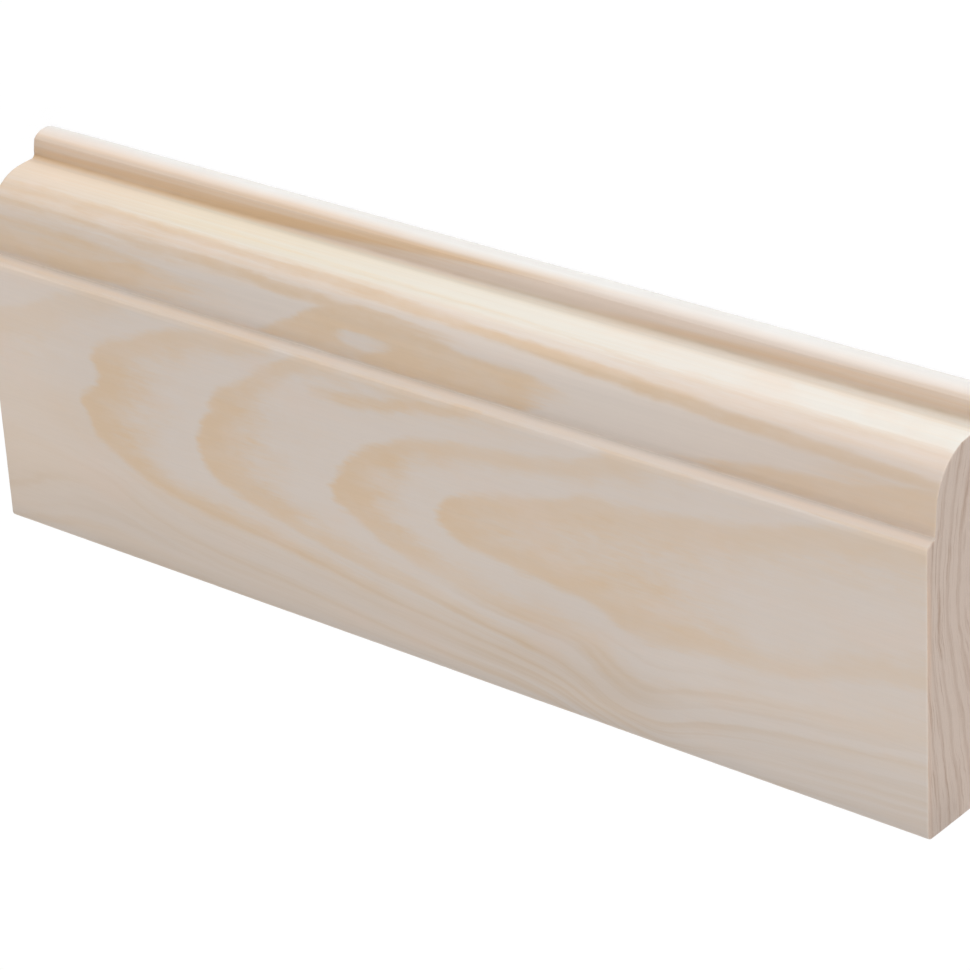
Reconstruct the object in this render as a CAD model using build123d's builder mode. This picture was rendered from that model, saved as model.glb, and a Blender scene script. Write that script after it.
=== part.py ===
from build123d import *
import os
from math import cos, radians, sin, sqrt, tan

# Architrave: one length of planed softwood, moulded along one edge.
# It lies on its flat back. X runs along the length, Y across the width from the plain edge to
# the bead, and Z out of the moulded face. The origin is the middle of the back.

# Length of the piece, cut square at both ends
LENGTH = 197.0

# Runs of the section across the width, from the plain edge to the top of the bead
FACE_WIDTH = 50.4
STEP_RISE = 0.7
OGEE_WIDTH = 13.4
BEAD_HEIGHT = 4.5

# Depths of the section below the flat face, and the wood left behind the deepest of them
STEP_DEPTH = 2.2
OGEE_DEPTH = 12.4
BEAD_THICKNESS = 5.9

# The ogee leaves the step nearly parallel to the flat face and comes down to the bead nearly
# square to it. These are the angles by which each run is off, in degrees, and one round joins
# the two runs.
OGEE_START_TILT = 4.5
OGEE_END_TILT = 3.0
OGEE_RADIUS = 9.0

# The bead's front leans back by this angle in degrees, and its top is a round that is highest
# at this level above the back
BEAD_LEAN = 7.0
BEAD_CROWN_RADIUS = 4.5
BEAD_CREST_LEVEL = 2.5

# Small radii left by the cutter, and arrises eased by sanding
FOOT_COVE_RADIUS = 0.8
QUIRK_RADIUS = 0.4
STEP_ARRIS_RADIUS = 0.6
BEAD_ARRIS_RADIUS = 0.5
PLAIN_ARRIS_RADIUS = 0.9

WIDTH = FACE_WIDTH + STEP_RISE + OGEE_WIDTH + BEAD_HEIGHT
THICKNESS = STEP_DEPTH + OGEE_DEPTH + BEAD_THICKNESS

# Stations across the width
plain_edge = -WIDTH / 2
step = plain_edge + FACE_WIDTH
quirk = step + STEP_RISE
bead_foot = quirk + OGEE_WIDTH
bead_top = bead_foot + BEAD_HEIGHT
crown_middle = bead_top - BEAD_CROWN_RADIUS

# Levels above the back
face = THICKNESS
quirk_level = face - STEP_DEPTH
bead_front = quirk_level - OGEE_DEPTH


def ogee_corner():
    """Where the ogee's two straight runs would meet if nothing rounded them."""
    start = radians(OGEE_START_TILT)
    end = radians(OGEE_END_TILT)
    run = (OGEE_WIDTH * cos(end) - OGEE_DEPTH * sin(end)) / cos(start + end)
    return quirk + run * cos(start), quirk_level - run * sin(start)


def bead_corner():
    """Where the bead's leaning front meets the round of its top."""
    lean = tan(radians(BEAD_LEAN))
    across = bead_foot - crown_middle
    above = bead_front - BEAD_CREST_LEVEL
    square = 1 + lean**2
    middle = across - above * lean
    rest = across**2 + above**2 - BEAD_CROWN_RADIUS**2
    run = (sqrt(middle**2 - square * rest) - middle) / square
    return bead_foot + run, bead_front - run * lean


with BuildPart() as architrave:
    with BuildSketch(Plane.YZ) as section:
        with BuildLine() as outline:
            # Plain edge, flat face, step, ogee and the bead's front, each corner with its radius
            moulded_face = FilletPolyline(
                (plain_edge, 0),
                (plain_edge, face),
                (step, face),
                (quirk, quirk_level),
                ogee_corner(),
                (bead_foot, bead_front),
                bead_corner(),
                radius=[
                    PLAIN_ARRIS_RADIUS,
                    STEP_ARRIS_RADIUS,
                    QUIRK_RADIUS,
                    OGEE_RADIUS,
                    FOOT_COVE_RADIUS,
                ],
            )
            crown_reach = sqrt(BEAD_CROWN_RADIUS**2 - BEAD_CREST_LEVEL**2)
            bead_crown = ThreePointArc(
                moulded_face @ 1,
                (bead_top, BEAD_CREST_LEVEL),
                (crown_middle + crown_reach, 0),
            )
            back = Line(bead_crown @ 1, moulded_face @ 0)
        make_face()
        bead_arris = section.vertices().sort_by_distance(bead_corner())[0]
        fillet(bead_arris, radius=BEAD_ARRIS_RADIUS)
    extrude(amount=LENGTH / 2, both=True)

architrave.part.label = "architrave"

os.makedirs("parts", exist_ok=True)
export_step(architrave.part, "parts/architrave.step")
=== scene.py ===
from math import ceil, cos, e, hypot, radians, sin
from types import SimpleNamespace

import bmesh
import bpy
import numpy as np
from mathutils import Matrix, Vector, noise
from mathutils.geometry import delaunay_2d_cdt


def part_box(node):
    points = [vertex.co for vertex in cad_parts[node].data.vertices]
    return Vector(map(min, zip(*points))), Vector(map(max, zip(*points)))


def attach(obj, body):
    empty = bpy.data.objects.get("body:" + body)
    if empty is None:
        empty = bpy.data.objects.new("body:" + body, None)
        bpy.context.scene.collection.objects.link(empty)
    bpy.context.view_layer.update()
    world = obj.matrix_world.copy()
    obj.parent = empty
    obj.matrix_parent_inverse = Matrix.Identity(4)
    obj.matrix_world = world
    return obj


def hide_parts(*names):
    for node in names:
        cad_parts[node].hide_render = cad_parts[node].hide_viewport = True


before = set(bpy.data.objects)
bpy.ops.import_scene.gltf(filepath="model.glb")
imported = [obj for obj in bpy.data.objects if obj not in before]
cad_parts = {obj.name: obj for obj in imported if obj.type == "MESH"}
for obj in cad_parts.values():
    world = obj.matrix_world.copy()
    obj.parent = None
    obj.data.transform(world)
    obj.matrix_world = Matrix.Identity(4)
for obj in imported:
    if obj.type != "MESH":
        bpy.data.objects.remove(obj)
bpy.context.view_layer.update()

MM = 0.001
FRAME_PIXELS = 970

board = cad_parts["architrave"]
low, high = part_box("architrave")
LENGTH = (high.x - low.x) / MM
WIDTH = (high.y - low.y) / MM
THICKNESS = (high.z - low.z) / MM

# The camera, as it stands round the piece when the piece is on its plain edge. Its place is in mm
# from the near end's lower front corner: along the length, into the wood, and up.
CAMERA_AZIMUTH = radians(40.685)
CAMERA_ELEVATION = radians(26.768)
CAMERA_ROLL = radians(-3.398)
CAMERA_PLACE = Vector((301.3, -449.0, 336.11))
FOCAL_PIXELS = 4140.9
# The sensor's width in mm, and how near and how far the camera sees in metres
SENSOR = 36.0
CLIP_START, CLIP_END = 0.01, 50

# Section of the moulding, in mm from the plain edge and in mm below the flat face
STEP_AT = 50.4
QUIRK = (51.1, 2.2)
BEAD_FOOT = (64.5, 14.6)
BEAD_ARRIS = (67.9, 15.0)
BEAD_BACK = (WIDTH - 0.76, THICKNESS)
SQUARE_ARRISES = ((STEP_AT, 0), (0, 0), (0, THICKNESS), BEAD_BACK)

# How finely the wood is meshed, in mm
FLAT_SPACING = 1.15
ROUND_SPACING = 0.26
STATION_SPACING = 1.25
CAP_SPACING = 0.75
# A side of the outline this many spacings long is flat, and points of a sawn end keep this part of
# a spacing from its outline
FLAT_SPAN = 5
CAP_CLEARANCE = 0.45
# Turns of the outline: what counts as straight, as a corner, and as a sharp edge for shading
STRAIGHT_TURN = radians(1)
SHARP_TURN = radians(35)
SHADED_EDGE = radians(38)
# A side this many times as long as its neighbour gives the direction where they meet
MUCH_LONGER = 2.5

# Relief of the machined wood, in mm, and how far round its arris or corner each reaches. It lies in
# the wood, apart from the fuzz in the two corners of the moulding.
ARRIS_WEAR, ARRIS_REACH = 0.10, 1.1
FOOT_FUZZ, FOOT_REACH = 0.11, 1.0
QUIRK_FUZZ, QUIRK_REACH = 0.03, 0.5
BEAD_ROUNDING, BEAD_REACH = 0.11, 1.3
SAW_RELIEF = 0.05
# How far the arris of a sawn end is eased, its steps as (mm from the end, share of the ease), and
# how far from the ends the evenly spaced stations begin
END_EASE = 0.16
EASE_STEPS = ((0.0, 1.0), (0.07, 0.42), (0.16, 0.1), (0.35, 0.0), (0.8, 0.0))
STATIONS_FROM = 1.4


def lying(v):
    """A vector of the piece standing on its plain edge, turned to the piece lying on its back."""
    return Vector((v[0], v[2], -v[1]))


def add_camera():
    ca, sa = cos(CAMERA_AZIMUTH), sin(CAMERA_AZIMUTH)
    ce, se = cos(CAMERA_ELEVATION), sin(CAMERA_ELEVATION)
    forward = Vector((-sa * ce, ca * ce, -se))
    right = Vector((ca, sa, 0))
    up = right.cross(forward)
    turned_right = right * cos(CAMERA_ROLL) + up * sin(CAMERA_ROLL)
    turned_up = up * cos(CAMERA_ROLL) - right * sin(CAMERA_ROLL)
    columns = [lying(turned_right), lying(turned_up), -lying(forward)]
    near_corner = Vector((LENGTH / 2, -WIDTH / 2, THICKNESS))
    place = (near_corner + lying(CAMERA_PLACE)) * MM
    data = bpy.data.cameras.new("photo_camera")
    data.sensor_width = SENSOR
    data.lens = FOCAL_PIXELS * SENSOR / FRAME_PIXELS
    data.clip_start = CLIP_START
    data.clip_end = CLIP_END
    camera = bpy.data.objects.new("photo_camera", data)
    camera.matrix_world = Matrix.Translation(place) @ Matrix(columns).transposed().to_4x4()
    bpy.context.scene.collection.objects.link(camera)
    bpy.context.scene.camera = camera


# ---- Mesh


def end_outline():
    """The CAD section's outline at the right end, as (y, z) points in mm in order."""
    mesh = board.data
    used = {}
    for p in mesh.polygons:
        if p.normal.x > 0.9:
            for a, b in p.edge_keys:
                used[(a, b)] = used.get((a, b), 0) + 1
    place = {}
    links = {}
    for (a, b), n in used.items():
        if n != 1:
            continue
        keys = []
        for i in (a, b):
            co = mesh.vertices[i].co / MM
            key = (round(co.y, 4), round(co.z, 4))
            place[key] = (co.y, co.z)
            keys.append(key)
        links.setdefault(keys[0], []).append(keys[1])
        links.setdefault(keys[1], []).append(keys[0])
    start = min(links, key=lambda k: k[0] + k[1])
    order = [start]
    step = max(links[start], key=lambda k: k[1])
    while step != start:
        order.append(step)
        previous, here = order[-2], step
        step = [k for k in links[here] if k != previous][0]
    return [Vector(place[k]) for k in order]


def tangents(points):
    """For each point, the directions in which the outline comes in and leaves."""
    n = len(points)
    result = []
    for i in range(n):
        a = points[i] - points[i - 1]
        b = points[(i + 1) % n] - points[i]
        turn = abs(a.angle_signed(b))
        if turn > SHARP_TURN:
            result.append((a.normalized(), b.normalized()))
        elif a.length > MUCH_LONGER * b.length:
            result.append((a.normalized(), a.normalized()))
        elif b.length > MUCH_LONGER * a.length:
            result.append((b.normalized(), b.normalized()))
        else:
            t = (a.normalized() * b.length + b.normalized() * a.length).normalized()
            result.append((t, t))
    return result


def refined(points):
    """The outline with more points, on the rounds that the CAD outline's own points lie on."""
    ways = tangents(points)
    n = len(points)
    result = []
    for i in range(n):
        a, b = points[i], points[(i + 1) % n]
        leave, arrive = ways[i][1], ways[(i + 1) % n][0]
        chord = (b - a).length
        bend = leave.angle(arrive)
        straight = bend < STRAIGHT_TURN
        flat = straight and chord > FLAT_SPACING * FLAT_SPAN
        spacing = FLAT_SPACING if flat else ROUND_SPACING
        parts = max(1, ceil(chord / spacing))
        # With tangents of this length, the span between the two points follows a circle's arc
        reach = chord / max(0.2, cos(bend / 4) ** 2)
        for k in range(parts):
            t = k / parts
            if straight:
                result.append(a.lerp(b, t))
                continue
            h00 = 2 * t**3 - 3 * t**2 + 1
            h10 = t**3 - 2 * t**2 + t
            h01 = 3 * t**2 - 2 * t**3
            h11 = t**3 - t**2
            result.append(a * h00 + leave * reach * h10 + b * h01 + arrive * reach * h11)
    return result


def inward(points):
    """The inward direction of the outline at each point."""
    n = len(points)
    result = []
    for i in range(n):
        a = (points[i] - points[i - 1]).normalized()
        b = (points[(i + 1) % n] - points[i]).normalized()
        t = (a + b).normalized()
        result.append(Vector((t.y, -t.x)))
    return result


def near(distance, reach):
    """1 at no distance, falling to 0 at the reach."""
    d = distance / reach
    return 0.0 if d >= 1 else (1 - d * d) ** 2


def rough(x, y, z):
    """Smooth noise from -1 to 1. The larger the factors on its coordinates, the finer it is."""
    return noise.noise(Vector((x, y, z)))


def relief(x, point):
    """How far into the wood the surface lies at x, on the outline's point, in mm."""
    across = point.x + WIDTH / 2
    depth = THICKNESS - point.y

    def by(corner, reach):
        return near(hypot(across - corner[0], depth - corner[1]), reach)

    slow = rough(x * 0.045, across * 0.3, 3.7)
    quick = rough(x * 0.55, across * 0.9, 9.1)
    arris = max(by(corner, ARRIS_REACH) for corner in SQUARE_ARRISES)
    worn = ARRIS_WEAR * arris * max(0.0, 0.35 + 0.8 * slow + 0.35 * quick)
    rounding = BEAD_ROUNDING * by(BEAD_ARRIS, BEAD_REACH)
    fuzz = rough(x * 0.42, 1.3, 5.5) + 0.6 * rough(x * 1.15, 7.7, 2.5)
    corners = FOOT_FUZZ * by(BEAD_FOOT, FOOT_REACH) + QUIRK_FUZZ * by(QUIRK, QUIRK_REACH)
    return worn + rounding + corners * fuzz


def stations():
    """Places along the length, closer together at the sawn ends, and how far each is eased."""
    half = LENGTH / 2
    ends = [(place, END_EASE * share) for place, share in EASE_STEPS]
    middle = 2 * (half - STATIONS_FROM)
    count = ceil(middle / STATION_SPACING)
    places = [(-half + a, b) for a, b in ends]
    places += [(-half + STATIONS_FROM + middle * i / count, 0.0) for i in range(count + 1)]
    places += [(half - a, b) for a, b in reversed(ends)]
    return places


def end_relief(side, point):
    """How far a point of a sawn end lies inside the end's plane, in mm."""
    saw = rough(point.y * 1.6, point.x * 0.12, 31.0 * side)
    fibre = rough(point.y * 2.3, point.x * 2.0, 17.0 * side)
    return SAW_RELIEF * min(1.0, max(0.0, 0.45 + 0.45 * saw + 0.3 * fibre))


def splinter(side, point):
    """Small losses along the arris of a sawn end, as a share of its ease."""
    large = rough(point.x * 0.8, point.y * 0.8, 11.0 * side)
    small = rough(point.x * 2.6, point.y * 2.6, 23.0 * side)
    return 0.9 * max(0.0, large) + 0.6 * max(0.0, small)


def runs(outline):
    """How far along the outline each point lies from the step's arris, in mm."""
    arris = Vector((STEP_AT - WIDTH / 2, THICKNESS))
    total = 0.0
    lengths = []
    for i, point in enumerate(outline):
        if i:
            total += (point - outline[i - 1]).length
        lengths.append(total)
    start = lengths[min(range(len(outline)), key=lambda i: (outline[i] - arris).length)]
    return [v - start for v in lengths]


def swept(outline):
    """The points of the rings along the length, and where in their list each ring stands."""
    into = inward(outline)
    verts = []
    rings = []
    for x, ease in stations():
        side = -1 if x < 0 else 1
        first = len(verts)
        for point, direction in zip(outline, into):
            splintered = splinter(side, point) if ease else 0
            p = point + direction * (relief(x, point) + ease * (1 + splintered))
            verts.append((x, p.x, p.y))
        rings.append(range(first, len(verts)))
    return verts, rings


def sawn_end(side, ring, verts):
    """The faces of a sawn end, whose new points are added to the list."""
    loop = [Vector(verts[i][1:]) for i in ring]
    n = len(loop)
    inner = []
    for r in range(int(WIDTH / CAP_SPACING) + 2):
        for c in range(int(THICKNESS / CAP_SPACING) + 1):
            across = -WIDTH / 2 + r * CAP_SPACING
            inner.append(Vector((across, (c + 0.5 * (r % 2)) * CAP_SPACING)))
    kept_clear = CAP_CLEARANCE * CAP_SPACING
    points = loop + [p for p in inner if inside(p, loop) and clearance(p, loop) > kept_clear]
    edges = [(i, (i + 1) % n) for i in range(n)]
    # The 1 asks for the triangles inside the outline alone
    coords, _, triangles, origin, _, _ = delaunay_2d_cdt(points, edges, [], 1, 1e-6)
    index = []
    for co, old in zip(coords, origin):
        on_loop = [o for o in old if o < n]
        if on_loop:
            index.append(ring[on_loop[0]])
            continue
        index.append(len(verts))
        verts.append((side * (LENGTH / 2 - end_relief(side, co)), co.x, co.y))
    faces = [[index[i] for i in t] for t in triangles]
    return [f if side > 0 else f[::-1] for f in faces if len(set(f)) == 3]


def build_board():
    outline = refined(end_outline())
    n = len(outline)
    verts, rings = swept(outline)
    run_at = runs(outline) * len(rings)
    faces = []
    for a, b in zip(rings, rings[1:]):
        faces += [(a[i], a[(i + 1) % n], b[(i + 1) % n], b[i]) for i in range(n)]
    for side, ring in ((-1, rings[0]), (1, rings[-1])):
        faces += sawn_end(side, ring, verts)
    run_at += [0.0] * (len(verts) - len(run_at))
    mesh = bpy.data.meshes.new("architrave_pine")
    mesh.from_pydata([Vector(v) * MM for v in verts], [], faces)
    work = bmesh.new()
    work.from_mesh(mesh)
    bmesh.ops.recalc_face_normals(work, faces=work.faces)
    work.to_mesh(mesh)
    work.free()
    mesh.polygons.foreach_set("use_smooth", [True] * len(mesh.polygons))
    mesh.set_sharp_from_angle(angle=SHADED_EDGE)
    mesh.update()
    paint_figure(mesh, np.array(verts), np.array(run_at))
    obj = bpy.data.objects.new("architrave_pine", mesh)
    bpy.context.scene.collection.objects.link(obj)
    return obj


def inside(p, loop):
    """Whether the point lies inside the loop."""
    hit = False
    for i in range(len(loop)):
        a, b = loop[i - 1], loop[i]
        if (a.y > p.y) != (b.y > p.y):
            if p.x < (b.x - a.x) * (p.y - a.y) / (b.y - a.y) + a.x:
                hit = not hit
    return hit


def clearance(p, loop):
    """How far the point lies from the loop."""
    best = 1e9
    for i in range(len(loop)):
        a, b = loop[i - 1], loop[i]
        ab = b - a
        t = max(0.0, min(1.0, (p - a).dot(ab) / ab.length_squared))
        best = min(best, (a + ab * t - p).length)
    return best


# ---- Wood


class Node:
    """A number in a material's node tree, with arithmetic."""

    tree = None

    def __init__(self, socket):
        self.socket = socket

    @staticmethod
    def make(operation, *inputs, clamp=False):
        node = Node.tree.nodes.new("ShaderNodeMath")
        node.operation = operation
        node.use_clamp = clamp
        for slot, value in zip(node.inputs, inputs):
            if isinstance(value, Node):
                Node.tree.links.new(value.socket, slot)
            else:
                slot.default_value = value
        return Node(node.outputs[0])

    def __add__(self, other):
        return Node.make("ADD", self, other)

    __radd__ = __add__

    def __sub__(self, other):
        return Node.make("SUBTRACT", self, other)

    def __rsub__(self, other):
        return Node.make("SUBTRACT", other, self)

    def __mul__(self, other):
        return Node.make("MULTIPLY", self, other)

    __rmul__ = __mul__

    def __truediv__(self, other):
        return Node.make("DIVIDE", self, other)

    def part(self):
        return Node.make("FRACT", self)

    def size(self):
        return Node.make("ABSOLUTE", self)

    def natural_log(self):
        return Node.make("LOGARITHM", self, e)


def smooth(value, start, end):
    """0 before start and 1 after end, with a smooth change between. Start may be above end."""
    node = Node.tree.nodes.new("ShaderNodeMapRange")
    node.interpolation_type = "SMOOTHSTEP"
    flip = start > end
    low_end, high_end = (end, start) if flip else (start, end)
    Node.tree.links.new(value.socket, node.inputs["Value"])
    node.inputs["From Min"].default_value = low_end
    node.inputs["From Max"].default_value = high_end
    node.inputs["To Min"].default_value = 1.0 if flip else 0.0
    node.inputs["To Max"].default_value = 0.0 if flip else 1.0
    return Node(node.outputs["Result"])


def curve(value, points):
    """A smooth curve through (value, result) points."""
    xs = [p[0] for p in points]
    ys = [p[1] for p in points]
    x0, x1, y0, y1 = min(xs), max(xs), min(ys), max(ys)
    node = Node.tree.nodes.new("ShaderNodeFloatCurve")
    line = node.mapping.curves[0]
    while len(line.points) < len(points):
        line.points.new(0.5, 0.5)
    for dot, (x, y) in zip(line.points, points):
        dot.location = ((x - x0) / (x1 - x0), (y - y0) / (y1 - y0))
        dot.handle_type = "AUTO_CLAMPED"
    node.mapping.update()
    scaled = Node.make("DIVIDE", value - x0, x1 - x0, clamp=True)
    Node.tree.links.new(scaled.socket, node.inputs["Value"])
    return Node(node.outputs["Value"]) * (y1 - y0) + y0


def combine(x, y, z):
    """A place from its three coordinates."""
    node = Node.tree.nodes.new("ShaderNodeCombineXYZ")
    for slot, value in zip(node.inputs, (x, y, z)):
        if isinstance(value, Node):
            Node.tree.links.new(value.socket, slot)
        else:
            slot.default_value = value
    return Node(node.outputs[0])


def cloud(x, y, z, detail, roughness):
    """Noise from -1 to 1 or so at the given coordinates."""
    node = Node.tree.nodes.new("ShaderNodeTexNoise")
    node.inputs["Scale"].default_value = 1.0
    node.inputs["Detail"].default_value = detail
    node.inputs["Roughness"].default_value = roughness
    Node.tree.links.new(combine(x, y, z).socket, node.inputs["Vector"])
    return Node(node.outputs[0]) * 2.0 - 1.0


def mix_colour(amount, a, b):
    """Colour a where the amount is 0, and b where it is 1."""
    node = Node.tree.nodes.new("ShaderNodeMix")
    node.data_type = "RGBA"
    node.clamp_factor = True
    Node.tree.links.new(amount.socket, node.inputs[0])
    for slot, value in ((node.inputs[6], a), (node.inputs[7], b)):
        if isinstance(value, Node):
            Node.tree.links.new(value.socket, slot)
        else:
            slot.default_value = (*value, 1.0)
    return Node(node.outputs[2])


def scaled_colour(colour, amount):
    """The colour, lighter or darker by a factor."""
    node = Node.tree.nodes.new("ShaderNodeVectorMath")
    node.operation = "SCALE"
    Node.tree.links.new(colour.socket, node.inputs[0])
    if isinstance(amount, Node):
        Node.tree.links.new(amount.socket, node.inputs["Scale"])
    else:
        node.inputs["Scale"].default_value = amount
    return Node(node.outputs[0])


def tinted(colour, tint):
    """The colour, with its red, green and blue each times a factor."""
    node = Node.tree.nodes.new("ShaderNodeVectorMath")
    node.operation = "MULTIPLY"
    Node.tree.links.new(colour.socket, node.inputs[0])
    node.inputs[1].default_value = tint
    return Node(node.outputs[0])


def shaded(colour, amount, shade):
    """The colour, darker by the shade where the amount is 1."""
    return mix_colour(amount, colour, scaled_colour(colour, shade))


def kept(name):
    """A value kept with the mesh."""
    node = Node.tree.nodes.new("ShaderNodeAttribute")
    node.attribute_name = name
    return Node(node.outputs["Fac"])


def separated(socket):
    """The three parts of a place or direction."""
    node = Node.tree.nodes.new("ShaderNodeSeparateXYZ")
    Node.tree.links.new(socket, node.inputs[0])
    return [Node(part) for part in node.outputs]


# ---- Figure

# Growth rings. A ring number rises towards the pith, which lies behind the back, and each whole
# number is a sharp change from one year's dark latewood to the next year's pale earlywood.
# These are where the changes show on the flat face, in mm from the left end and from the plain
# edge. A smooth surface through them gives the ring number anywhere on the face.
RING_EDGES = {
    0.0: (
        (2, 41.5), (7, 43), (12, 44.8), (17, 47.6), (22, 49.5), (27, 50.8), (6, 19), (16, 17),
        (28, 15),
    ),
    1.0: (
        (61, 50.8), (50, 49.3), (42, 47.1), (37, 45.3), (32, 43.1), (27, 41.3), (24.8, 38.8),
        (25.8, 35), (24.9, 32.5), (22.8, 31.2), (21.4, 30), (22, 27.5), (22.8, 25), (24, 22.5),
        (28.3, 20), (34, 17.5), (43, 15), (50, 13.8), (66, 12.4), (76, 11.2), (95, 8.5), (115, 6.8),
        (128, 4.6), (136, 2), (160, 2.4), (175, 4.2), (197, 5.8),
    ),
    2.0: (
        (73, 50.4), (69, 47.9), (62, 43.9), (58, 41.4), (55, 40), (53, 37.5), (51.8, 35),
        (49.7, 32.5), (48.8, 30), (48.4, 28.5), (49, 25), (50, 23.6), (53, 21.2), (57.3, 20),
        (61.6, 18.8), (67.5, 17.4), (73, 16.2), (81, 14.9), (90, 13.4), (100, 12.3), (110, 10.8),
        (120, 9.5), (125, 8.7), (130, 7), (135, 4.3), (145, 2.8), (152, 4.4), (160, 6.4), (170, 8),
        (180, 9.2), (190, 10.2), (197, 11),
    ),
    3.0: (
        (138, 50), (130, 46.6), (125, 46.1), (120, 45.2), (110, 43.7), (100, 42), (92, 39.6),
        (87, 37.3), (83.7, 35), (81.6, 32.5), (79.8, 30), (78.3, 27.5), (79.8, 25), (84.5, 22.5),
        (90, 20.1), (95, 18.8), (100, 17.8), (105, 16.4), (110, 15.4), (117, 14.6), (125, 14.2),
        (130, 13.5), (135, 9.8), (140, 7.7), (145, 7.4), (155, 10.6), (165, 12.6), (175, 14),
        (185, 15), (197, 16.8),
    ),
    4.0: (
        (190, 51.2), (180, 49), (175, 47.8), (170, 46.4), (165, 45.3), (160, 44.3), (155, 43.8),
        (150, 43), (145, 41.8), (140, 41.5), (135, 41.6), (130, 40.5), (125, 38.6), (120, 37.3),
        (115, 36.1), (110, 35), (105, 33.4), (102.6, 31.2), (101.3, 30), (102.3, 27.5), (104, 26.2),
        (108, 25), (116, 23.8), (130, 22.4), (136, 21), (140, 19), (145, 18.1), (150, 18.8),
        (155, 19.4), (170, 20.4), (180, 23.2), (190, 25.2), (197, 26.2),
    ),
}
# Ring numbers between the changes, which say how far each dark band reaches inwards
RINGS_BETWEEN = (
    (3, 30, 0.5), (14, 30, 0.75), (0, 52, -0.35), (0, 8, -0.4), (32, 30, 1.36), (38, 30, 1.5),
    (43, 29, 1.7), (37, 38.5, 1.4), (42, 43, 1.38), (47, 45.4, 1.38), (60, 28, 2.38), (67, 30, 2.6),
    (73, 30, 2.8), (62, 38.5, 2.38), (67, 45, 2.4), (73, 47.6, 2.4), (88.5, 29, 3.38),
    (94, 29, 3.6), (97, 38.8, 3.38), (110, 41.3, 3.4), (120, 42.5, 3.4), (130, 44.2, 3.4),
    (140, 46.8, 3.4), (112, 30, 4.3), (120, 30, 4.34), (130, 31, 4.35), (144, 31, 4.34),
    (150, 31, 4.42), (156, 32, 4.55), (162, 33, 4.65), (172, 34, 4.72), (185, 36, 4.74),
    (197, 38, 4.7), (155, 37.5, 4.38), (165, 41, 4.38), (175, 43, 4.38), (185, 44, 4.38),
    (195, 45, 4.38), (155, 25, 4.38), (175, 25, 4.42), (185, 28.5, 4.45), (195, 30, 4.45),
)
# How much longer than wide the figure is, how loosely it follows the places above, and how far past
# the face's edges it is worked out
FACE_STRETCH = 2.2
FACE_EASE = 1.0
FACE_REACH = (-2, 56)
# Width of the change at a ring's edge in mm, and the most and least that it comes to in ring
# numbers
RING_SOFTNESS = 2.2
SOFTEST, SHARPEST = 0.4, 0.04

# A fainter line that runs along inside the third ring, with its half width in mm
FALSE_RING = (
    (72, 46.6, 0), (77, 44.6, 0.7), (82, 44.9, 0.85), (87, 45.5, 0.9), (92, 46.3, 0.9),
    (97, 47.5, 0.9), (102, 48.4, 1), (107, 49.2, 1), (113, 50.4, 0.7),
)
FALSE_RING_HALF = 1.35

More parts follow.
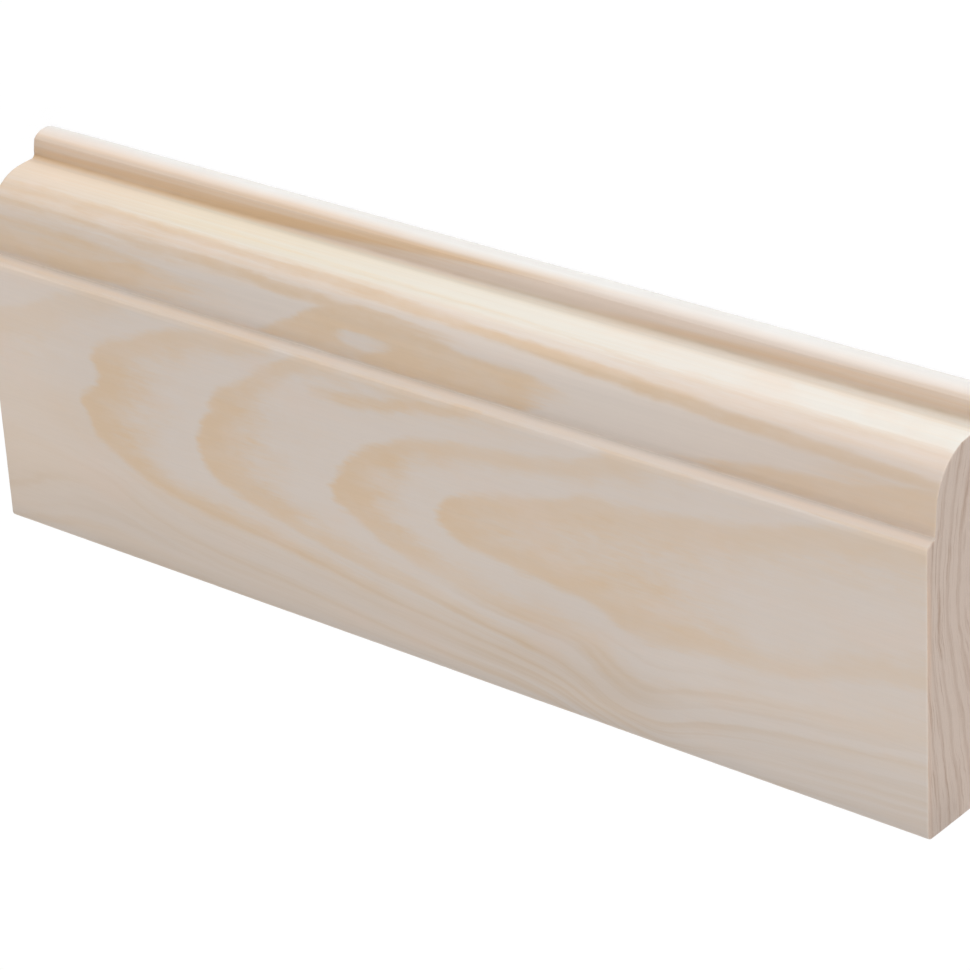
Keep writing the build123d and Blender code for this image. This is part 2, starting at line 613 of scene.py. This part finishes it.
# Latewood on the moulding. Each patch is given as (place along, lower edge, upper edge, strength)
# with the edges measured round the moulding from the step's arris. A later patch of strength 0
# leaves a pale eye in an earlier one.
MOULDING_PATCHES = (
    (
        (62, 2.6, 2.9, 0.3), (66, 2.6, 4.3, 1), (70, 2.6, 6.5, 1), (73, 2.6, 8.5, 1),
        (78, 2.6, 10.7, 1), (85, 2.6, 11, 1), (95, 2.6, 10.5, 1), (105, 2.6, 9.3, 1),
        (112, 2.6, 9.1, 1), (119, 2.6, 9.4, 0.85), (124, 4.6, 8.2, 0.35), (129, 6, 7.5, 0),
    ),
    (
        (146, 2.6, 2.9, 0), (153, 2.6, 3.5, 0.6), (160, 2.6, 4.8, 0.85), (165, 2.6, 5.4, 1),
        (176, 2.6, 6.3, 1), (182, 2.6, 6.8, 1), (187, 2.6, 8.2, 0.9), (197, 2.6, 10, 0.9),
    ),
    (
        (0, 2.6, 6.3, 1), (20, 2.6, 6.3, 1), (28, 2.6, 7, 1), (35, 3.6, 8.2, 0.95),
        (42, 4.8, 8, 0.6), (50, 5.6, 8.2, 0.4), (60, 6.6, 8, 0),
    ),
    (
        (0, 2.6, 9.9, 0.75), (20, 2.6, 9.8, 0.8), (36, 2.6, 9, 0.65), (44, 2.6, 8.2, 0.3),
        (62, 2.6, 8, 0),
    ),
    ((0, 8.1, 9.3, 0.8), (20, 8, 9.5, 0.95), (27, 8, 9.2, 0.75), (34, 8, 8.6, 0)),
    ((172, 6.5, 10.2, 0), (180, 6.5, 10, 0.4), (197, 6.5, 10, 0.6)),
    (
        (0, 0.3, 2.8, 0.5), (60, 0.3, 2.7, 0.4), (100, 0.3, 2.5, 0.3), (140, 0.3, 2.2, 0.15),
        (197, 0.3, 2.3, 0.15),
    ),
    (
        (0, 9, 17.5, 0.42), (30, 9.3, 17, 0.4), (60, 9.8, 16.8, 0.3), (90, 12, 16.5, 0.2),
        (112, 12, 16, 0),
    ),
    (
        (0, 13.8, 16.7, 0.75), (20, 14.2, 16.4, 0.8), (35, 14.2, 16.1, 0.85), (50, 14, 16, 0.8),
        (65, 13.8, 15.5, 0.7), (80, 13.5, 15.5, 0.95), (95, 13, 14.9, 0.85),
        (110, 12.7, 14.3, 0.95), (125, 12, 14.1, 1.1), (140, 11.1, 13.4, 1.05),
        (155, 10.4, 12.8, 1), (170, 9.8, 12.1, 1), (185, 9.4, 11.5, 0.95), (197, 9.3, 11, 0.9),
    ),
    (
        (0, 11.4, 13, 0.65), (20, 11.6, 13.2, 0.55), (35, 10.5, 12.3, 0.75), (50, 10.4, 12.6, 0.9),
        (61, 10.4, 12.3, 0.95), (70, 10.1, 12, 1), (80, 10, 11.9, 1), (94, 10.1, 11.7, 0.9),
        (104, 10.1, 11, 0.3), (110, 10.1, 10.8, 0),
    ),
    (
        (0, 15.8, 17.7, 0.5), (50, 15.6, 17.4, 0.32), (70, 15.6, 17.2, 0.15), (105, 15, 17, 0.12),
        (150, 12.8, 17, 0.25), (197, 11.2, 16.4, 0.22),
    ),
    (
        (0, 18.1, 18.7, 0.4), (35, 18, 18.6, 0.35), (65, 17.7, 18.3, 0.4), (80, 17, 17.6, 0.4),
        (110, 17, 17.7, 0.35), (125, 16.4, 17.2, 0.4), (140, 15.4, 16.1, 0.45),
        (155, 15, 15.8, 0.45), (170, 14.7, 15.5, 0.4), (190, 14.6, 15.4, 0.35),
    ),
)
PALE_EYE = (
    (79, 5.7, 6, 0), (82, 4.6, 7.4, 0.9), (86, 4.4, 7.6, 0.95), (89.5, 5, 7.1, 0.75),
    (93, 6, 6.2, 0),
)
# Width of the change at a patch's edges, in mm, and how the edges waver: how far in mm, how quickly
# along and round the moulding per mm, and where the noise is taken
PATCH_SOFTNESS = 1.3
WAVER = ((0.35, 0.13, 0.4, 2.2), (0.2, 0.5, 0.9, 6.1))


def ring_surface(edges, between, stretch, ease, along, across):
    """The ring number at each place, from a thin plate through the places where it is known."""
    known = [(x, y, n) for n, places in edges.items() for x, y in places] + list(between)
    known = np.array(known, float)
    centres = known[:, :2] / (stretch, 1.0)
    count = len(known)

    def plate(places):
        square = ((places[:, None, :] - centres[None, :, :]) ** 2).sum(-1)
        return 0.5 * square * np.log(np.maximum(square, 1e-12))

    system = np.zeros((count + 3, count + 3))
    system[:count, :count] = plate(centres) + np.eye(count) * ease
    system[:count, count] = 1
    system[:count, count + 1 :] = centres
    system[count:, :count] = system[:count, count:].T
    weights = np.linalg.solve(system, np.append(known[:, 2], (0, 0, 0)))
    places = np.stack([along / stretch, across], -1)
    return plate(places) @ weights[:-3] + weights[-3] + places @ weights[-2:]


def patch(places, along, run):
    """How much of the patch shows at each place."""
    xs, lows, highs, strengths = zip(*places)
    low_edge = np.clip((run - np.interp(along, xs, lows)) / PATCH_SOFTNESS + 0.5, 0, 1)
    high_edge = np.clip((np.interp(along, xs, highs) - run) / PATCH_SOFTNESS + 0.5, 0, 1)
    shown = low_edge**2 * (3 - 2 * low_edge) * high_edge**2 * (3 - 2 * high_edge)
    strength = np.interp(along, xs, strengths)
    return shown * strength


def paint_figure(mesh, verts, run):
    """Keeps the figure with the mesh: ring numbers, how soft their edges look, and patches."""
    along = verts[:, 0] + LENGTH / 2
    across = verts[:, 1] + WIDTH / 2
    face = (RING_EDGES, RINGS_BETWEEN, FACE_STRETCH, FACE_EASE)
    on_face = np.clip(across, *FACE_REACH)
    number = ring_surface(*face, along, on_face)
    xs, middles, strengths = zip(*FALSE_RING)
    off = (across - np.interp(along, xs, middles)) / FALSE_RING_HALF
    faint = np.interp(along, xs, strengths, left=0, right=0) * np.clip(1.3 - off**2, 0, 1)
    step = 0.5
    up = ring_surface(*face, along, on_face + step) - number
    right = ring_surface(*face, along + step, on_face) - number
    soft = np.clip(np.hypot(up, right) / step * RING_SOFTNESS, SHARPEST, SOFTEST)
    shaken = run
    for reach, lengthwise, sideways, taken_at in WAVER:
        shake = [rough(x * lengthwise, r * sideways, taken_at) for x, r in zip(along, run)]
        shaken = shaken + reach * np.array(shake)
    late = np.zeros(len(verts))
    for places in MOULDING_PATCHES:
        late = np.maximum(late, patch(places, along, shaken))
    late *= 1 - patch(PALE_EYE, along, shaken)
    for name, values in (
        ("face_ring", number),
        ("false_ring", faint),
        ("ring_softness", soft),
        ("moulding_latewood", late),
        ("moulding_run", run),
    ):
        layer = mesh.attributes.new(name, "FLOAT", "POINT")
        layer.data.foreach_set("value", values.astype(np.float32))


# ---- Material

# Colours of the planed wood
EARLYWOOD = (0.797, 0.70, 0.625)
LATEWOOD = (0.79, 0.60, 0.425)
PINKISH_WOOD = (0.81, 0.655, 0.55)
PALE_WOOD = (0.84, 0.805, 0.755)
CROWN_WOOD = (0.845, 0.83, 0.805)
# How much darker the face is low down and at the plain arris; and the shades of the wood where the
# rings dip, in the lines of the narrow rings and in the streaks of the moulding
LOWER_SHADE = 0.92
DIP_SHADE = 0.97
NARROW_SHADE = 0.95
STREAK_SHADE = 0.93
PLAIN_ARRIS_SHADE = 0.91
# Painted light and shade round the moulding, mixed with the wood's own tone: how much darker or
# lighter the wood is made at places measured from the step's arris, with painted shade down the
# step's wall into the quirk and in the corner at the bead's foot, and a painted highlight along the
# bead's arris; and how much paler the flat face is at the far left
ROUND_PAINTED_LIGHT_AND_SHADE = (
    (-1.3, 1), (-0.5, 1.05), (0.0, 0.94), (0.5, 0.85), (1.0, 0.84), (1.3, 0.81), (1.6, 0.765),
    (1.95, 0.71), (2.2, 0.76), (2.5, 1.02), (3, 0.98), (4, 0.945), (7, 0.95), (9, 0.905),
    (11, 0.93), (12.2, 0.95), (13, 1.01), (14, 1.03), (15, 1.02), (16, 1.04), (17.5, 1.02),
    (20, 1.015), (21.5, 0.99), (22.3, 0.88), (23.3, 0.83), (24, 0.93), (24.6, 0.985), (25.2, 1.01),
    (26, 1.05), (26.45, 1.06), (27, 0.94), (27.5, 1.0), (28.3, 1.03), (30, 1.01), (33, 1),
)
LEFT_GAIN = 0.045
# The creamy tint of the ogee's top, and how much of it shows from left to right
CREAM_TINT = (1.0, 1.06, 1.02)
CREAM = (
    (0, 0.1), (20, 0.4), (35, 0.75), (50, 1), (65, 1), (90, 0.8), (125, 0.5), (160, 0.25),
    (197, 0.35),
)
# The two tones of the bead's front, and how much of the warmer one shows from left to right, as
# seen at the middle of the bead's front. With each mm round it, the tones lie further to the right
# by the slant, and get paler.
BEAD_PALE = (0.812, 0.675, 0.575)
BEAD_WARM = (0.78, 0.55, 0.345)
BEAD_WARMTH = (
    (0, 0.6), (20, 0.8), (35, 0.72), (50, 0.84), (65, 1.05), (80, 0.45), (95, 0.15), (115, 0.0),
    (132, 0.2), (142, 0.45), (155, 0.55), (175, 0.4), (197, 0.45),
)
BEAD_MIDDLE = 24.9
BEAD_SLANT = 16.0
BEAD_PALING = 0.14
# How far the top of the ogee leans towards latewood (below 0) or to paler wood, from left to right
OGEE_TONE = ((0, -0.5), (35, -0.25), (60, -0.15), (80, 0.05), (110, 0.4), (150, 0.6), (197, 0.85))
# The pale top of the bead: the run at which it starts, how much later it starts from left to
# right, and over what distance it comes in, in mm
CROWN_AT = 26.0
CROWN_LAG = (
    (0, 0.6), (30, 0.9), (45, 0.85), (62, 1.0), (76, 0.85), (90, 0.5), (110, 0.3), (140, 0.3),
    (197, 0.2),
)
CROWN_CHANGE = (
    (0, 5.2), (15, 4.8), (30, 3.8), (62, 3.2), (90, 3.0), (110, 3.2), (140, 3.6), (197, 4.0),
)
# Colours of the sawn ends
END_EARLYWOOD = (0.765, 0.632, 0.545)
END_LATEWOOD = (0.56, 0.405, 0.315)
END_WARM = (0.80, 0.59, 0.455)
# Ring numbers at the moulded side of the right end, from the plain edge to the step
END_RINGS = (
    (0, 2.3), (7, 2.52), (14, 2.97), (20, 3.32), (25, 3.68), (31, 4.15), (37.5, 4.42), (45, 4.3),
    (51, 4.05), (69, 2.6),
)

ROUGHNESS = 0.58
SPECULAR = 0.3
BUMP_STRENGTH = 0.35
BUMP_DISTANCE = 0.06 * MM

# How squarely a side has to face along the length to look sawn, from not at all to fully
END_FACING = (0.55, 0.8)
# Height of the heart of the figure on the face, in mm from the plain edge
HEART_AT = 29.5
# The ring number rises into the wood by a logarithm, quickest just under the face. It also rises a
# little with each mm of depth, in proportion, so the rings keep their order.
INWARD_REACH = 8.5
INWARD_RISE = 5.2
INWARD_STRETCH = 0.02
# How a ring's latewood fades, by the part of the ring that is passed
BAND_FALL = ((0, 1), (0.13, 0.97), (0.24, 0.8), (0.35, 0.53), (0.45, 0.3), (0.6, 0.12), (1, 0))

# Noise in the wood: how quickly it changes along, across and into the wood per mm, where it is
# taken, its detail and its roughness
GRAIN = {
    "wander": (0.05, 0.12, 0.15, 0.0, 2.0, 0.5),
    "tremble": (0.16, 0.6, 0.6, 0.0, 3.0, 0.5),
    "fibre": (0.03, 2.6, 2.6, 0.0, 4.0, 0.6),
    "long_fibre": (0.012, 0.8, 0.8, 0.0, 3.0, 0.55),
    "patches": (0.06, 0.1, 0.1, 7.0, 3.0, 0.6),
    "feather": (0.17, 1.7, 1.7, 0.0, 3.0, 0.65),
    "mottle": (0.1, 0.26, 0.26, 3.0, 3.0, 0.62),
    "end_wave": (0.3, 0.14, 0.35, 0.0, 3.0, 0.6),
    "saw": (1.0, 0.5, 4.5, 0.0, 3.0, 0.65),
    "pores": (3.0, 3.5, 7.0, 0.0, 3.0, 0.65),
    "speckle": (3.0, 1.6, 3.2, 0.0, 2.0, 0.5),
}
# Noise in long lines, which follow either the rings or the run of the moulding: which of the two,
# how quickly it changes along and from line to line, where it is taken, its detail and roughness
LINES = {
    "ring_fibre": ("ring", 0.012, 7.0, 3.0, 3.0, 0.6),
    "narrow_fibre": ("ring", 0.012, 3.6, 6.0, 2.0, 0.5),
    "streaks": ("run", 0.008, 1.3, 5.0, 3.0, 0.65),
    "bead_streaks": ("run", 0.012, 1.5, 9.0, 3.0, 0.6),
}
# Places in the wood, each by its edges as (measure, where the place begins, where it is full). The
# measures are in mm, apart from the ring number and the noise.
PLACES = {
    "moulding": (("run", 0.0, 0.5), ("run", 33.5, 32.5)),
    # On the flat face
    "lower": (("across", 17.0, 5.0),),
    "lower_right": (("along", 108.0, 126.0),),
    "heart": (("off_heart", 11.0, 4.0),),
    "under_heart": (("across", 34.0, 28.0),),
    "outermost": (("ring", 0.85, 0.6),),
    "plain_edge": (("depth", 0.8, 2.2), ("across", 1.0, 0.3)),
    "plain_corner": (("across", 2.8, 0.8), ("depth", 1.2, 0.5)),
    "plain_arris": (("across", 4.5, 0.4), ("depth", 1.2, 0.2)),
    "left_low": (("along", 75.0, 45.0), ("across", 22.0, 13.0)),
    "left_end": (("along", 45.0, 12.0), ("across", 34.0, 24.0)),
    "left_corner": (("along", 14.0, 0.0), ("across", 9.0, 2.0)),
    "left_half": (("along", 60.0, 5.0),),
    "left_tip": (("along", 30.0, 4.0),),
    "top_left": (("across", 48.6, 50.2), ("along", 75.0, 50.0)),
    "right_end": (("along", 134.0, 156.0),),
    "narrow_rings": (("across", 21.0, 12.0),),
    "narrow_middle": (("along", 92.0, 120.0),),
    "narrow_right": (("along", 150.0, 175.0),),
    "dip": (
        ("along", 100.0, 124.0), ("along", 156.0, 138.0), ("across", 27.0, 19.0),
        ("across", 2.0, 9.0),
    ),
    "pink_patches": (("patches", 0.0, 0.45),),
    # Round the moulding
    "ogee_top": (("run", 13.0, 17.5),),
    "ogee_end": (("run", 20.6, 22.4),),
    "ogee_pink": (("run", 17.0, 14.0), ("along", 130.0, 178.0)),
    "ogee_cream": (("run", 14.5, 17.5),),
    "ogee_middle": (("run", 8.0, 11.0), ("run", 18.0, 16.5)),
    "bead": (("run", 22.5, 23.8),),
    "bead_pale_foot": (("along", 92.0, 114.0), ("run", 24.6, 23.6)),
    # On the sawn ends
    "right_half": (("along", 60.0, 130.0),),
    "moulded_side": (("depth", 7.0, 2.0),),
    "moulded_rim": (("depth", 1.7, 0.3),),
    "warm_rim": (("across", 24.0, 33.0), ("across", 46.0, 42.0)),
    "dark_foot": (("across", 11.0, 0.5), ("depth", 11.0, 6.0)),
    "specks": (("speckle", 0.38, 0.6),),
}
# Places on the face where the rings are fainter, each with how much fainter they are
FAINTER = (
    (0.16, ("across", 39.0, 46.0)),
    (0.16, ("along", 97.0, 112.0), ("across", 19.0, 25.0)),
    (0.5, ("along", 156.0, 168.0), ("across", 34.0, 28.0)),
    (0.36, ("along", 76.0, 96.0), ("along", 122.0, 102.0), ("across", 22.0, 18.0)),
    (0.32, ("along", 116.0, 128.0), ("across", 24.0, 18.0)),
    (0.3, ("along", 140.0, 152.0), ("along", 170.0, 158.0), ("across", 20.0, 15.0)),
)


def band(ring, softness):
    """The latewood of each ring: sharp at the whole number, then fading out."""
    part = (ring - softness * 0.5).part()
    rising = Node.make("DIVIDE", part - (1.0 - softness), softness, clamp=True)
    return Node.make("MAXIMUM", curve(part, BAND_FALL), rising * rising * (3.0 - 2.0 * rising))


def feathered(amount, fibres):
    """The amount with its soft edges broken up along the fibres."""
    return Node.make("ADD", amount, amount * (1.0 - amount) * 4.0 * fibres, clamp=True)


def within(wood, edges):
    """1 in a place and 0 outside it."""
    (measure, begins, full), *others = edges
    amount = smooth(getattr(wood, measure), begins, full)
    for measure, begins, full in others:
        amount = amount * smooth(getattr(wood, measure), begins, full)
    return amount


def read_wood(tree):
    """The measures of a point of the wood, its noise, and how far it lies in each of the places."""
    coords = tree.nodes.new("ShaderNodeTexCoord")
    place = separated(coords.outputs["Object"])
    facing = separated(coords.outputs["Normal"])
    wood = SimpleNamespace()
    wood.along = place[0] * (1 / MM) + LENGTH / 2
    wood.across = place[1] * (1 / MM) + WIDTH / 2
    wood.depth = THICKNESS - place[2] * (1 / MM)
    wood.off_heart = (wood.across - HEART_AT).size()
    wood.end = smooth(facing[0].size(), *END_FACING)
    wood.side = 1.0 - wood.end
    wood.run = kept("moulding_run")
    for name, (along, across, into, taken_at, detail, roughness) in GRAIN.items():
        x, y, z = wood.along * along, wood.across * across, wood.depth * into + taken_at
        setattr(wood, name, cloud(x, y, z, detail, roughness))
    wood.inwards = (wood.depth / INWARD_REACH + 1.0).natural_log() * INWARD_RISE
    wood.ring = kept("face_ring") * (1.0 + INWARD_STRETCH * wood.depth) + wood.inwards
    wood.ring = wood.ring + wood.wander * 0.03 + wood.tremble * 0.07
    for name, (lane, along, apart, taken_at, detail, roughness) in LINES.items():
        x, y = wood.along * along, getattr(wood, lane) * apart
        setattr(wood, name, cloud(x, y, taken_at, detail, roughness))
    for name, edges in PLACES.items():
        setattr(wood, name, within(wood, edges))
    return wood


def face_latewood(wood):
    """How much latewood the flat face and hidden sides show, and its lines of narrow rings."""
    rings = band(wood.ring, kept("ring_softness"))
    rings = feathered(rings, 0.5 * wood.feather + 0.65 * wood.mottle)

    # The rings fade towards the plain edge, where they are narrow and give one even tone
    strength = 1.0 - wood.lower * (0.66 - 0.1 * wood.lower_right)
    strength = strength * (0.8 + 0.18 * wood.heart)
    for fainter, *edges in FAINTER:
        strength = strength * (1.0 - fainter * within(wood, edges))
    strength = strength + 0.4 * wood.plain_edge
    outermost = wood.outermost * (0.45 + 0.45 * wood.under_heart)
    late = rings * strength * (1.0 - outermost) * (0.97 + 0.45 * wood.mottle)
    false_ring = feathered(kept("false_ring"), 0.5 * wood.feather + 0.4 * wood.mottle)
    late = Node.make("MAXIMUM", late, false_ring * (0.85 + 0.4 * wood.mottle))

    # The even tones between the rings
    left = Node.make("MAXIMUM", 0.36 * wood.left_low, 0.3 * wood.left_end) * (1.0 - wood.lower)
    fill = wood.lower * (0.4 - 0.32 * wood.right_end) + left + 0.22 * wood.left_corner
    fill = fill + 0.07 * wood.left_half + 0.3 * wood.top_left
    fill = fill * (1.0 - 0.5 * wood.plain_corner)
    late = late + fill * (1.0 - 0.5 * rings)

    narrow = 0.55 + 0.45 * wood.narrow_middle * (1.0 - 0.8 * wood.narrow_right)
    narrow = narrow * wood.narrow_rings
    lines = smooth(wood.narrow_fibre, -0.18, 0.42)
    return late + narrow * (lines - 0.36) * 0.38, narrow * lines


def planed_colour(wood):
    """The colour of the planed sides, with painted light and shade round the moulding, and how much
    latewood they show.
    """
    moulded = wood.moulding
    late, narrow_lines = face_latewood(wood)
    moulding_late = feathered(kept("moulding_latewood"), 0.5 * wood.feather + 0.6 * wood.long_fibre)
    moulding_late = moulding_late * (0.9 + 0.5 * wood.mottle)
    late = late * (1.0 - moulded) + moulding_late * moulded
    fine = wood.ring_fibre * 0.08 + wood.feather * 0.05 + wood.mottle * 0.06
    late = Node.make("ADD", late, fine * wood.side, clamp=True)

    # The top of the ogee leans to one tone or the other, with streaks along it
    top = wood.ogee_top * moulded
    tone = curve(wood.along, OGEE_TONE)
    warmer = Node.make("MAXIMUM", tone * -1.0, 0.0) * top
    paler = Node.make("MAXIMUM", tone, 0.0) * top
    late = Node.make("MAXIMUM", late, warmer * (1.0 + 0.4 * wood.long_fibre))
    streaks = (0.5 * wood.streaks + 0.18 * wood.ogee_end) * top
    late = Node.make("ADD", late, streaks, clamp=True)

    colour = mix_colour(paler, EARLYWOOD, PALE_WOOD)
    colour = mix_colour(late, colour, LATEWOOD)
    pinkish = 0.35 * wood.pink_patches + 0.3 * wood.ogee_pink * moulded
    colour = mix_colour(pinkish, colour, PINKISH_WOOD)
    colour = shaded(colour, wood.lower * (1.0 - moulded), LOWER_SHADE)
    colour = shaded(colour, wood.dip, DIP_SHADE)
    colour = shaded(colour, narrow_lines * (1.0 - moulded), NARROW_SHADE)
    colour = shaded(colour, wood.plain_arris, PLAIN_ARRIS_SHADE)
    colour = shaded(colour, late * moulded * wood.ogee_middle, STREAK_SHADE)
    cream = curve(wood.along, CREAM) * wood.ogee_cream
    colour = mix_colour(cream, colour, tinted(colour, CREAM_TINT))

    colour = bead_colour(wood, colour)
    # Painted shade in the quirk and at the bead's foot, and a painted highlight along the bead's
    # arris
    colour = scaled_colour(colour, curve(wood.run, ROUND_PAINTED_LIGHT_AND_SHADE))
    colour = scaled_colour(colour, 1.0 + wood.left_tip * (1.0 - moulded) * LEFT_GAIN)
    grain = 0.025 * wood.fibre + (0.015 + 0.02 * moulded) * wood.long_fibre
    grain = grain + 0.02 * wood.patches + 0.02 * wood.feather
    return scaled_colour(colour, 1.0 + grain), late


def bead_colour(wood, colour):
    """The colour with the bead's own tones on the bead's front and top."""
    front = wood.bead * wood.moulding * (1.0 - 0.6 * wood.bead_pale_foot)
    past_middle = wood.run - BEAD_MIDDLE
    warmth = curve(wood.along - past_middle * BEAD_SLANT, BEAD_WARMTH)
    warmth = warmth - BEAD_PALING * past_middle
    warmth = warmth + 0.3 * wood.long_fibre + 0.5 * wood.bead_streaks
    colour = mix_colour(front, colour, mix_colour(warmth, BEAD_PALE, BEAD_WARM))
    past_start = wood.run - CROWN_AT - curve(wood.along, CROWN_LAG)
    crown = smooth(past_start / curve(wood.along, CROWN_CHANGE), 0.0, 1.0) * wood.moulding
    crown = crown * (0.95 + 0.2 * wood.patches + 0.15 * wood.bead_streaks)
    return mix_colour(crown, colour, CROWN_WOOD)


def sawn_colour(wood):
    """The colour and height of the sawn ends: rings cut across, with torn fibre between them."""
    right = wood.right_half
    ring = kept("face_ring") * (1.0 - right) + curve(wood.across, END_RINGS) * right
    ring = ring + wood.inwards + 0.25 * wood.end_wave
    part = ring.part()
    ring_line = Node.make("MAXIMUM", smooth(part, 0.72, 0.98), smooth(part, 0.2, 0.02))
    torn = cloud(ring * 6.2, wood.across * 0.07, wood.along + 2.0, 3.0, 0.65)
    torn_line = smooth(torn, 0.02, 0.36)
    late = ring_line * 0.45 * (0.85 + 0.8 * wood.saw) + 0.14 * wood.saw
    late = late + torn_line * (0.55 + 0.3 * wood.moulded_side) * (1.0 + 0.5 * wood.saw)
    colour = mix_colour(late, END_EARLYWOOD, END_LATEWOOD)
    warm = wood.moulded_rim * (0.3 + 0.45 * wood.warm_rim) * (1.0 + 0.5 * wood.saw)
    colour = mix_colour(warm, colour, END_WARM)
    rough_saw = 0.09 * wood.saw + 0.09 * wood.pores + 0.22 * wood.specks
    colour = scaled_colour(colour, 1.0 + rough_saw)
    colour = scaled_colour(colour, 1.0 - 0.11 * wood.dark_foot)
    height = wood.saw * 1.8 + wood.pores * 1.2 + wood.specks * 0.8
    return colour, height - torn_line * 0.8 + ring_line * 0.6


def pine():
    material = bpy.data.materials.new("pine")
    material.use_nodes = True
    tree = material.node_tree
    Node.tree = tree
    shader = tree.nodes["Principled BSDF"]
    wood = read_wood(tree)
    planed, late = planed_colour(wood)
    sawn, sawn_height = sawn_colour(wood)
    colour = mix_colour(wood.end, planed, sawn)
    tree.links.new(colour.socket, shader.inputs["Base Color"])

    rough_wood = ROUGHNESS + 0.05 * wood.fibre - 0.05 * late + 0.16 * wood.end
    tree.links.new(rough_wood.socket, shader.inputs["Roughness"])
    shader.inputs["Specular IOR Level"].default_value = SPECULAR

    height = (wood.fibre * 0.35 + late * 0.2 + wood.feather * 0.25) * wood.side
    height = height + sawn_height * wood.end
    bump = tree.nodes.new("ShaderNodeBump")
    bump.inputs["Strength"].default_value = BUMP_STRENGTH
    bump.inputs["Distance"].default_value = BUMP_DISTANCE
    tree.links.new(height.socket, bump.inputs["Height"])
    tree.links.new(bump.outputs[0], shader.inputs["Normal"])
    return material


# ---- Studio

# The floor: its size and how far it lies under the piece in metres, its grey, and the white that
# the camera and the gloss see, with the share of that white
FLOOR_SIZE = 8.0
FLOOR_DROP = 0.0002
FLOOR_GREY = 0.82
FLOOR_WHITE = 1.06
FLOOR_WHITE_SHARE = 0.9
# Strength of the white world as a light. The camera and the gloss see it at 1.
WORLD_STRENGTH = 0.31
# The lamps, each with its place, its size and its power. All of them face one point of the piece.
LAMP_TARGET = (0, 0, 0.01)
LAMPS = {
    "top": ((0.2, 1.8, 0.05), (1.2, 0.8), 35.5),
    "front": ((0.2, 0.1, 1.9), (1.6, 1.4), 4.6),
    "side": ((1.8, 0.2, 0.3), (1.2, 0.8), 4.3),
    "low": ((0.3, -1.2, 1.2), (1.3, 0.9), 10.6),
}


def seen_directly():
    """1 where the camera, a reflection or a view through glass meets the surface, and else 0."""
    path = Node.tree.nodes.new("ShaderNodeLightPath")
    rays = ("Camera", "Glossy", "Transmission")
    camera, gloss, through = (Node(path.outputs[f"Is {ray} Ray"]) for ray in rays)
    return Node.make("MAXIMUM", Node.make("MAXIMUM", camera, gloss), through)


def add_floor():
    half = FLOOR_SIZE / 2
    mesh = bpy.data.meshes.new("studio_floor")
    corners = [(-half, -half, 0), (half, -half, 0), (half, half, 0), (-half, half, 0)]
    mesh.from_pydata(corners, [], [(0, 1, 2, 3)])
    floor = bpy.data.objects.new("studio_floor", mesh)
    bpy.context.scene.collection.objects.link(floor)
    floor.location.z = -FLOOR_DROP
    material = bpy.data.materials.new("studio_floor")
    material.use_nodes = True
    tree = material.node_tree
    Node.tree = tree
    diffuse = tree.nodes["Principled BSDF"]
    diffuse.inputs["Base Color"].default_value = (FLOOR_GREY, FLOOR_GREY, FLOOR_GREY, 1)
    diffuse.inputs["Roughness"].default_value = 1.0
    diffuse.inputs["Specular IOR Level"].default_value = 0.0
    glow = tree.nodes.new("ShaderNodeEmission")
    glow.inputs["Color"].default_value = (1, 1, 1, 1)
    glow.inputs["Strength"].default_value = FLOOR_WHITE
    share = seen_directly() * FLOOR_WHITE_SHARE
    mix = tree.nodes.new("ShaderNodeMixShader")
    tree.links.new(share.socket, mix.inputs[0])
    tree.links.new(diffuse.outputs[0], mix.inputs[1])
    tree.links.new(glow.outputs[0], mix.inputs[2])
    tree.links.new(mix.outputs[0], tree.nodes["Material Output"].inputs["Surface"])
    mesh.materials.append(material)


def add_lamp(name, place, size, power):
    data = bpy.data.lights.new(name, "AREA")
    data.shape = "RECTANGLE"
    data.size, data.size_y = size
    data.energy = power
    lamp = bpy.data.objects.new(name, data)
    lamp.location = place
    way = Vector(LAMP_TARGET) - Vector(place)
    lamp.rotation_euler = way.to_track_quat("-Z", "Y").to_euler()
    bpy.context.scene.collection.objects.link(lamp)


def add_world():
    world = bpy.data.worlds.new("studio")
    world.use_nodes = True
    tree = world.node_tree
    Node.tree = tree
    shade = tree.nodes["Background"]
    shade.inputs["Color"].default_value = (1, 1, 1, 1)
    strength = seen_directly() * (1.0 - WORLD_STRENGTH) + WORLD_STRENGTH
    tree.links.new(strength.socket, shade.inputs["Strength"])
    bpy.context.scene.world = world


add_camera()
piece = build_board()
piece.data.materials.append(pine())
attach(piece, "root")
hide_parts("architrave")

add_floor()
add_world()
for name, lamp in LAMPS.items():
    add_lamp(name, *lamp)

view = bpy.context.scene.view_settings
view.view_transform = "Standard"
